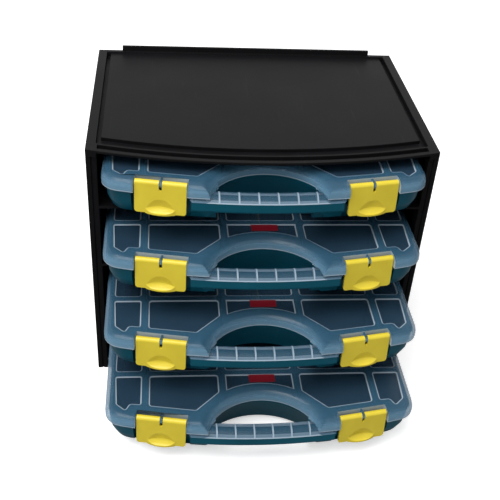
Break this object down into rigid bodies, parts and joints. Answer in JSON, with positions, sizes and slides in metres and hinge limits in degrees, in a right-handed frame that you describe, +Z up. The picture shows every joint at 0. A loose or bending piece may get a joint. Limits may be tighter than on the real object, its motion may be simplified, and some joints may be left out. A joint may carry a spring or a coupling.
{
  "type": "parts case rack",
  "caption": "Black plastic rack holding a stack of slide-out organiser cases, each with a clear hinged lid, a moulded carrying handle and yellow snap latches.",
  "frame": {"origin": "centre of the rack's underside, on the surface it stands on", "axes": "+Z up, -Y the way the cases slide out, +X to the right as seen from the front"},
  "size_m": [0.342, 0.378, 0.2863],
  "materials": {
    "rack_black": "fine moulded texture, satin",
    "base_teal": "smooth moulded, semi-gloss",
    "lid_clear": "hazy clear moulded plastic",
    "latch_yellow": "smooth moulded, semi-gloss",
    "divider_yellow": "smooth moulded, semi-gloss"
  },
  "bodies": {
    "rack": {"left_side_panel": "rack_black", "right_side_panel": "rack_black", "top_panel": "rack_black", "bottom_panel": "rack_black", "back_panel": "rack_black"},
    "case_1": {"case_1_base": "base_teal", "case_1_dividers": "divider_yellow"},
    "case_1_cover": {"case_1_lid": "lid_clear"},
    "case_1_left_snap": {"case_1_left_latch": "latch_yellow"},
    "case_1_right_snap": {"case_1_right_latch": "latch_yellow"},
    "case_2": {"case_2_base": "base_teal", "case_2_dividers": "divider_yellow"},
    "case_2_cover": {"case_2_lid": "lid_clear"},
    "case_2_left_snap": {"case_2_left_latch": "latch_yellow"},
    "case_2_right_snap": {"case_2_right_latch": "latch_yellow"},
    "case_3": {"case_3_base": "base_teal", "case_3_dividers": "divider_yellow"},
    "case_3_cover": {"case_3_lid": "lid_clear"},
    "case_3_left_snap": {"case_3_left_latch": "latch_yellow"},
    "case_3_right_snap": {"case_3_right_latch": "latch_yellow"},
    "case_4": {"case_4_base": "base_teal", "case_4_dividers": "divider_yellow"},
    "case_4_cover": {"case_4_lid": "lid_clear"},
    "case_4_left_snap": {"case_4_left_latch": "latch_yellow"},
    "case_4_right_snap": {"case_4_right_latch": "latch_yellow"}
  },
  "joints": [
    {"name": "case_1_slide", "type": "slide", "parent": "rack", "child": "case_1", "axis": [0, -1, 0], "range_m": [-0.0245, 0.2155]},
    {"name": "case_1_lid_hinge", "type": "hinge", "parent": "case_1", "child": "case_1_cover", "pos_m": [0, 0.068, 0.2608], "axis": [-1, 0, 0], "range_deg": [0, 1.2]},
    {"name": "case_1_left_latch_hinge", "type": "hinge", "parent": "case_1_cover", "child": "case_1_left_snap", "pos_m": [-0.1002, -0.14974, 0.2635], "axis": [-0.9848, 0.1735, 0], "range_deg": [0, 100]},
    {"name": "case_1_right_latch_hinge", "type": "hinge", "parent": "case_1_cover", "child": "case_1_right_snap", "pos_m": [0.1002, -0.14974, 0.2635], "axis": [-0.9848, -0.1735, 0], "range_deg": [0, 100]},
    {"name": "case_2_slide", "type": "slide", "parent": "rack", "child": "case_2", "axis": [0, -1, 0], "range_m": [-0.05, 0.19]},
    {"name": "case_2_lid_hinge", "type": "hinge", "parent": "case_2", "child": "case_2_cover", "pos_m": [0, 0.0425, 0.1903], "axis": [-1, 0, 0], "range_deg": [0, 3.5]},
    {"name": "case_2_left_latch_hinge", "type": "hinge", "parent": "case_2_cover", "child": "case_2_left_snap", "pos_m": [-0.1002, -0.17524, 0.193], "axis": [-0.9848, 0.1735, 0], "range_deg": [0, 100]},
    {"name": "case_2_right_latch_hinge", "type": "hinge", "parent": "case_2_cover", "child": "case_2_right_snap", "pos_m": [0.1002, -0.17524, 0.193], "axis": [-0.9848, -0.1735, 0], "range_deg": [0, 100]},
    {"name": "case_3_slide", "type": "slide", "parent": "rack", "child": "case_3", "axis": [0, -1, 0], "range_m": [-0.084, 0.156]},
    {"name": "case_3_lid_hinge", "type": "hinge", "parent": "case_3", "child": "case_3_cover", "pos_m": [0, 0.0085, 0.1198], "axis": [-1, 0, 0], "range_deg": [0, 4.5]},
    {"name": "case_3_left_latch_hinge", "type": "hinge", "parent": "case_3_cover", "child": "case_3_left_snap", "pos_m": [-0.1002, -0.20924, 0.1225], "axis": [-0.9848, 0.1735, 0], "range_deg": [0, 100]},
    {"name": "case_3_right_latch_hinge", "type": "hinge", "parent": "case_3_cover", "child": "case_3_right_snap", "pos_m": [0.1002, -0.20924, 0.1225], "axis": [-0.9848, -0.1735, 0], "range_deg": [0, 100]},
    {"name": "case_4_slide", "type": "slide", "parent": "rack", "child": "case_4", "axis": [0, -1, 0], "range_m": [-0.12, 0.12]},
    {"name": "case_4_lid_hinge", "type": "hinge", "parent": "case_4", "child": "case_4_cover", "pos_m": [0, -0.0275, 0.0493], "axis": [-1, 0, 0], "range_deg": [0, 5]},
    {"name": "case_4_left_latch_hinge", "type": "hinge", "parent": "case_4_cover", "child": "case_4_left_snap", "pos_m": [-0.1002, -0.24524, 0.052], "axis": [-0.9848, 0.1735, 0], "range_deg": [0, 100]},
    {"name": "case_4_right_latch_hinge", "type": "hinge", "parent": "case_4_cover", "child": "case_4_right_snap", "pos_m": [0.1002, -0.24524, 0.052], "axis": [-0.9848, -0.1735, 0], "range_deg": [0, 100]}
  ]
}
